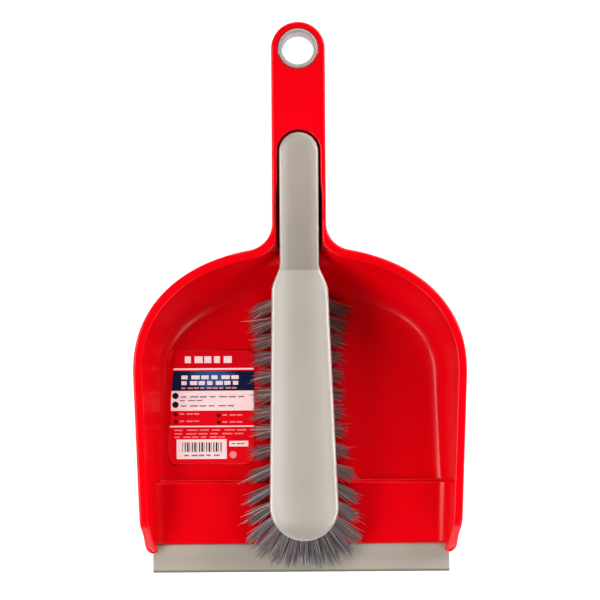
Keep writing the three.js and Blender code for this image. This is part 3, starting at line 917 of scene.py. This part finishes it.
def build_tuft(index, tuft, material):
    """A bundle of near-parallel bristles with ragged ends and a few strays."""
    name, y, lean_y = tuft[0], tuft[2], tuft[4]
    over_plate = y + lean_y - TUFT_CAD_SPREAD < WELL_FRONT_Y
    tip_z = TUFT_TIP_PLATE if over_plate else TUFT_TIP_WELL
    rng = random.Random(1000 + index)
    bm = bmesh.new()
    for k in range(FILAMENTS):
        path = bristle_path(rng, k, tuft, tip_z)
        filament(bm, path, rng.uniform(*FILAMENT_RADIUS))
    piece = make_object(name + "_bristles", bm, material, weld=0)
    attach(piece, "brush")
    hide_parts(name)


# --- Materials ---

class Graph:
    """A node tree with short ways to add the nodes used here."""

    def __init__(self, tree):
        self.nodes, self.links = tree.nodes, tree.links

    def feed(self, node, values):
        """Links each named input to the socket given, or sets it to the constant given."""
        for name, value in values.items():
            if isinstance(value, bpy.types.NodeSocket):
                self.links.new(value, node.inputs[name])
            else:
                node.inputs[name].default_value = value

    def add(self, kind, output, values, **settings):
        """Adds a node and returns the output named."""
        node = self.nodes.new("ShaderNode" + kind)
        for name, setting in settings.items():
            setattr(node, name, setting)
        self.feed(node, values)
        return node.outputs[output]

    def axes(self, coordinates="Object"):
        """The X, Y and Z of a place on the surface, by name."""
        place = self.nodes.new("ShaderNodeSeparateXYZ")
        self.feed(place, {"Vector": self.add("TexCoord", coordinates, {})})
        return place.outputs

    def noise(self, scale, detail):
        place = self.add("TexCoord", "Object", {})
        return self.add("TexNoise", "Fac", {"Scale": scale, "Detail": detail, "Vector": place})

    def remap(self, source, span, result):
        """Maps a span of values onto another one."""
        return self.add("MapRange", "Result", {"Value": source, "From Min": span[0], "From Max": span[1],
                                               "To Min": result[0], "To Max": result[1]})

    def math(self, kind, a, b, clamp=False):
        return self.add("Math", "Value", {0: a, 1: b}, operation=kind, use_clamp=clamp)

    def mix(self, kind, factor, a, b):
        values = {"Factor": factor, "A": a, "B": b}
        return self.add("Mix", "Result", values, data_type="RGBA", blend_type=kind)

    def ramp(self, source, stops):
        """A colour ramp through stops, each a position and a colour."""
        node = self.nodes.new("ShaderNodeValToRGB")
        elements = node.color_ramp.elements
        for element, (position, colour) in zip(elements, (stops[0], stops[-1])):
            element.position = position
            element.color = colour
        for position, colour in stops[1:-1]:
            elements.new(position).color = colour
        self.feed(node, {"Fac": source})
        return node.outputs["Color"]


def new_material(name):
    material = bpy.data.materials.new(name)
    material.use_nodes = True
    return material, Graph(material.node_tree), material.node_tree.nodes["Principled BSDF"]


def moulded_plastic(name, low, high, roughness, bump, bump_scale, specular=0.5):
    """Moulded plastic: a faint drift of colour and gloss, and a fine skin."""
    material, graph, shader = new_material(name)
    skin = graph.noise(bump_scale, 5)
    graph.feed(shader, {
        "Base Color": graph.ramp(graph.noise(14, 3), [(0.3, low), (0.7, high)]),
        "Roughness": graph.remap(graph.noise(60, 4), (0.3, 0.7), roughness),
        "Specular IOR Level": specular,
        "Normal": graph.add("Bump", "Normal", {"Height": skin, "Strength": bump, "Distance": 0.0002}),
    })
    return material


def paint_light_and_shade_along(material, axis, start, end, stops):
    """Multiplies the material's colour by tones of painted light and shade set out along an axis, each a
    position and a colour.
    """
    graph = Graph(material.node_tree)
    shader = graph.nodes["Principled BSDF"]
    plain = shader.inputs["Base Color"].links[0].from_socket
    along = graph.remap(graph.axes()[axis], (start * MM, end * MM), (0.0, 1.0))
    graph.feed(shader, {"Base Color": graph.mix("MULTIPLY", 1.0, plain, graph.ramp(along, stops))})


def pan_plastic():
    return moulded_plastic("pan_red_plastic", (0.79, 0.0, 0.004, 1), (0.84, 0.0, 0.006, 1),
                           (0.2, 0.26), 0.03, 700, specular=0.2)


def brush_plastic():
    """Painted shade: darker on the handle than on the head, most of all next to the head."""
    grey = moulded_plastic("brush_grey_plastic", (0.365, 0.327, 0.28, 1), (0.40, 0.36, 0.312, 1),
                           (0.3, 0.38), 0.08, 900)
    # Painted shade along the handle: darkest next to the head, lighter towards its end.
    paint_light_and_shade_along(grey, "Y", LEVEL_Y - 0.5, BRUSH_END_Y,
                [(0.0, (1, 1, 1, 1)), (0.01, (0.73, 0.69, 0.68, 1)), (1.0, (0.92, 0.88, 0.86, 1))])
    return grey


def lip_elastomer():
    """Painted shade: darker along its front edge and where it meets the pan."""
    rubber = moulded_plastic("lip_elastomer", (0.38, 0.34, 0.28, 1), (0.425, 0.38, 0.315, 1),
                             (0.5, 0.62), 0.12, 1200)
    # Painted shade along the front edge and where the lip meets the pan.
    paint_light_and_shade_along(rubber, "Y", -HALF_LENGTH, PLATE_FRONT_Y,
                [(0.0, (0.36, 0.34, 0.32, 1)), (0.05, (0.5, 0.48, 0.45, 1)), (0.11, (1, 1, 1, 1)),
                 (0.55, (0.9, 0.9, 0.9, 1)), (0.95, (1, 1, 1, 1)), (1.0, (0.7, 0.66, 0.62, 1))])
    return rubber


def ring_plastic():
    """Painted shade down the hole, and a little painted light on top."""
    grey = moulded_plastic("ring_plastic", (0.34, 0.30, 0.29, 1), (0.40, 0.36, 0.34, 1),
                           (0.3, 0.4), 0.06, 900)
    top = rim_plane(RING_Y)
    # Painted shade down the hole; the top is lifted above its own colour as a painted highlight.
    paint_light_and_shade_along(grey, "Z", top - HANDLE_DEPTH, top,
                [(0.0, (0.3, 0.28, 0.28, 1)), (0.8, (0.42, 0.38, 0.38, 1)),
                 (0.93, (1.06, 1.0, 0.98, 1)), (1.0, (1.08, 1.02, 1.0, 1))])
    return grey


def bristle_material():
    """Grey bristles: each its own shade, browner towards the rear from painted red bounce light, and
    darker at the rear's right from a painted shadow.
    """
    material, graph, shader = new_material("bristle_mix")
    place = graph.axes()
    shades = graph.ramp(graph.add("NewGeometry", "Random Per Island", {}),
                        [(0.0, (0.10, 0.085, 0.085, 1)), (0.75, (0.36, 0.31, 0.32, 1)),
                         (0.95, (0.85, 0.78, 0.82, 1))])
    forward = graph.remap(place["Y"], (-0.012, -0.125), (0.0, 1.0))
    right = graph.remap(place["X"], (0.004, 0.018), (0.0, 1.0))
    # Painted red bounce light from the pan: browner towards the rear.
    painted_light_tint = graph.mix("MIX", forward, (0.84, 0.66, 0.59, 1), (0.74, 0.70, 0.70, 1))
    # Painted shadow: darker at the rear's right, where the head shades the tufts.
    painted_shadow_mask = graph.math("SUBTRACT", right, forward, clamp=True)
    painted_light_tint = graph.mix("MULTIPLY", painted_shadow_mask, painted_light_tint, (0.5, 0.40, 0.40, 1))
    graph.feed(shader, {"Base Color": graph.mix("MULTIPLY", 1.0, shades, painted_light_tint), "Roughness": 0.42})
    return material


def label_material():
    """A printed sticker: bands, bullets, rule lines and a bar block, with no lettering."""
    material, graph, shader = new_material("label_print")
    printed = Painter(material.node_tree).print_label()
    # The print glows faintly as painted light, to look brighter than its colour alone reflects.
    graph.feed(shader, {"Base Color": printed, "Emission Color": printed, "Emission Strength": 0.26,
                        "Roughness": 0.32, "Specular IOR Level": 0.3})
    return material


INK = {"red": (0.80, 0.003, 0.012, 1), "deep": (0.70, 0.002, 0.012, 1), "navy": (0.010, 0.016, 0.075, 1),
       "glow": (0.03, 0.16, 0.42, 1), "white": (0.95, 0.91, 0.90, 1), "black": (0.02, 0.015, 0.02, 1),
       "grey": (0.30, 0.27, 0.30, 1), "pink": (0.86, 0.38, 0.38, 1), "maroon": (0.12, 0.004, 0.01, 1)}


class Painter(Graph):
    """Lays flat shapes over each other on the label, in millimetres from its centre."""

    def __init__(self, tree):
        super().__init__(tree)
        place = self.axes()
        self.x, self.y = place["X"], place["Y"]
        self.under = INK["red"]

    def within(self, source, middle, half):
        distance = self.math("ABSOLUTE", self.math("SUBTRACT", source, middle * MM), 0)
        return self.math("LESS_THAN", distance, half * MM)

    def lay(self, mask, ink):
        self.under = self.mix("MIX", mask, self.under, INK[ink])

    def box(self, x0, x1, y0, y1, ink):
        across = self.within(self.x, (x0 + x1) / 2, (x1 - x0) / 2)
        along = self.within(self.y, (y0 + y1) / 2, (y1 - y0) / 2)
        self.lay(self.math("MULTIPLY", across, along), ink)

    def distance_squared(self, x, y, squeeze=1.0):
        dx = self.math("SUBTRACT", self.x, x * MM)
        dy = self.math("MULTIPLY", self.math("SUBTRACT", self.y, y * MM), squeeze)
        return self.math("ADD", self.math("MULTIPLY", dx, dx), self.math("MULTIPLY", dy, dy))

    def dot(self, x, y, radius, ink):
        self.lay(self.math("LESS_THAN", self.distance_squared(x, y), (radius * MM) ** 2), ink)

    def glow(self, x, y, radius, squeeze, y0, y1, ink):
        """A soft patch that fades out by radius, kept between two heights."""
        near = self.math("DIVIDE", self.distance_squared(x, y, squeeze), (radius * MM) ** 2)
        fade = self.math("SUBTRACT", 1.0, near, clamp=True)
        self.lay(self.math("MULTIPLY", fade, self.within(self.y, (y0 + y1) / 2, (y1 - y0) / 2)), ink)

    def dashes(self, x0, x1, y, height, gaps, ink):
        """A rule broken into uneven dashes, which stands for a line of small print."""
        step = (x1 - x0) / gaps
        for k in range(gaps):
            length = step * (0.62 + 0.22 * ((k * 5) % 3) / 2)
            self.box(x0 + k * step, x0 + k * step + length, y - height / 2, y + height / 2, ink)

    def print_label(self):
        """Title blocks, the navy band, two white panels, bullets, small print and the bar block."""
        self.glow(6, 44, 46, 1.0, 25.0, 36.6, "deep")
        self.box(-28, 28, 23.4, 24.4, "white")
        self.box(-28, 28, 10.2, 22.6, "navy")
        self.glow(0.7, 18.4, 17, 2.0, 10.2, 22.6, "glow")
        self.dashes(-16.5, 14.0, 29.8, 4.2, 5, "white")
        self.dashes(-18.7, 19.0, 18.7, 2.4, 6, "white")
        self.dashes(-18.7, 19.0, 15.1, 2.4, 7, "white")
        self.dashes(-18.7, 17.0, 11.9, 0.9, 9, "pink")
        self.box(-28, 28, -2.3, 10.2, "white")
        for y in (7.1, 1.5):
            self.dot(-22.5, y, 2.0, "black")
        self.dashes(-19.2, 23.0, 6.4, 0.9, 7, "grey")
        self.dashes(-19.8, -4.1, 4.1, 0.8, 3, "grey")
        self.dashes(-19.2, 16.1, 0.7, 0.9, 6, "grey")
        for x, y in ((-22.4, -4.5), (-22.4, -9.1), (4.6, -5.3), (4.6, -9.7)):
            self.dot(x, y, 1.2, "maroon")
            self.dashes(x + 2.6, x + 16, y + 0.2, 0.8, 3, "pink")
        self.box(-28, 28, -12.6, -11.8, "white")
        for x1, y in ((24, -14.5), (22, -16.8), (10, -18.9)):
            self.dashes(-23, x1, y, 0.7, 6, "pink")
        self.box(-21.8, 9.6, -32.6, -20.3, "white")
        for k in range(17):
            width = 0.4 + 0.32 * ((k * 7) % 3)
            self.box(-18.3 + 1.5 * k, -18.3 + 1.5 * k + width, -28.2, -22.2, "black")
        self.dashes(-17, 6, -30.4, 1.1, 5, "grey")
        self.box(11.2, 23.1, -24.9, -21.4, "white")
        self.dashes(13.0, 21.4, -23.1, 0.9, 3, "grey")
        self.dot(13.6, -30.1, 2.2, "pink")
        return self.under


# --- Stage ---
# Softboxes: place and target in metres, side in metres, power in watts.
SOFTBOXES = {
    "left_high": ((-1.13, -0.03, 1.15), (0, -0.03, 0.02), 0.7, 14.0),
    "rear_low": ((0.0, 1.47, 0.57), (0, -0.03, 0.02), 0.7, 8.5),
    "right_rear_low": ((1.26, 0.70, 0.70), (0, -0.03, 0.02), 0.9, 19.0),
    "right_rear_high": ((0.75, 1.04, 0.94), (0, -0.03, 0.02), 0.7, 5.0),
    "mouth_left": ((-0.45, -0.50, 0.40), (0, -0.13, 0), 0.3, 2.0),
    "mouth_right": ((0.45, -0.50, 0.40), (0, -0.13, 0), 0.3, 1.8),
}

# Strips that only show as reflections on the brush: place, target, length and width, power.
STRIPS = {
    "strip_left": ((-1.1, -0.05, 0.33), (0, -0.05, 0.04), (1.3, 0.28), 30.0),
    "strip_right": ((1.1, -0.05, 0.33), (0, -0.05, 0.04), (1.3, 0.28), 25.0),
    "strip_high_left": ((-0.48, -0.05, 1.2), (0, -0.05, 0.04), (1.2, 0.3), 9.0),
    "strip_high_right": ((0.55, -0.05, 1.15), (0, -0.05, 0.04), (1.2, 0.25), 5.0),
}

# The camera: its lens in millimetres, its target and distance in metres, its angles in degrees.
CAMERA_LENS = 174.0
CAMERA_TARGET = (0.00027, -0.00185, 0.030)
CAMERA_DISTANCE = 1.8
CAMERA_PITCH = 6
CAMERA_ROLL = -0.39


def stage_floor():
    bm = bmesh.new()
    bmesh.ops.create_grid(bm, x_segments=2, y_segments=2, size=3.0)
    material, graph, shader = new_material("floor_pale")
    graph.feed(shader, {"Base Color": (0.78, 0.78, 0.78, 1), "Roughness": 0.9, "Specular IOR Level": 0.1,
                        "Emission Color": (1, 1, 1, 1), "Emission Strength": 0.58})
    floor = make_object("studio_floor", bm, material)
    floor.location.z = -0.0002


def add_softbox(name, place, target, side, power):
    light = bpy.data.lights.new(name, "AREA")
    light.size = side
    light.energy = power
    obj = bpy.data.objects.new(name, light)
    obj.location = place
    obj.rotation_euler = (Vector(target) - Vector(place)).to_track_quat("-Z", "Y").to_euler()
    bpy.context.scene.collection.objects.link(obj)
    return obj


def add_strip(name, place, target, size, power, seen_by):
    """A long softbox that lies along the brush and lights nothing but its reflections there."""
    strip = add_softbox(name, place, target, size[0], power)
    strip.data.shape = "RECTANGLE"
    strip.data.size_y = size[1]
    back = (Vector(place) - Vector(target)).normalized()
    along = Vector((0, 1, 0))
    strip.rotation_euler = Matrix((along, back.cross(along), back)).transposed().to_euler()
    strip.visible_diffuse = False
    strip.visible_camera = False
    strip.light_linking.receiver_collection = seen_by


def studio(block):
    """Pale all round at the level of the floor, dark overhead, and softboxes at the sides."""
    world = bpy.data.worlds.new("studio")
    world.use_nodes = True
    graph = Graph(world.node_tree)
    strength = graph.remap(graph.axes("Generated")["Z"], (0.05, 0.45), (0.3, 0.02))
    graph.feed(graph.nodes["Background"], {"Color": (1, 1, 1, 1), "Strength": strength})
    bpy.context.scene.world = world
    for name, settings in SOFTBOXES.items():
        add_softbox(name, *settings)
    brush = bpy.data.collections.new("brush_reflects")
    brush.objects.link(block)
    for name, settings in STRIPS.items():
        add_strip(name, *settings, brush)
    bpy.context.scene.view_settings.view_transform = "Standard"


def add_camera():
    camera = bpy.data.cameras.new("photo_camera")
    camera.sensor_width = 36
    camera.lens = CAMERA_LENS
    camera.clip_end = 20
    obj = bpy.data.objects.new("photo_camera", camera)
    pitch, roll = math.radians(CAMERA_PITCH), math.radians(CAMERA_ROLL)
    back = Vector((0, -math.sin(pitch), math.cos(pitch)))
    obj.location = Vector(CAMERA_TARGET) + CAMERA_DISTANCE * back
    turn = Matrix.Rotation(pitch, 3, "X") @ Matrix.Rotation(roll, 3, "Z")
    obj.rotation_euler = turn.to_euler()
    bpy.context.scene.collection.objects.link(obj)
    bpy.context.scene.camera = obj


def main():
    build_pan(pan_plastic())
    build_lip(lip_elastomer())
    build_ring(ring_plastic())
    build_label(label_material())
    block = build_block(brush_plastic())
    bristles = bristle_material()
    for index, tuft in enumerate(tuft_layout()):
        build_tuft(index, tuft, bristles)
    stage_floor()
    studio(block)
    add_camera()


main()
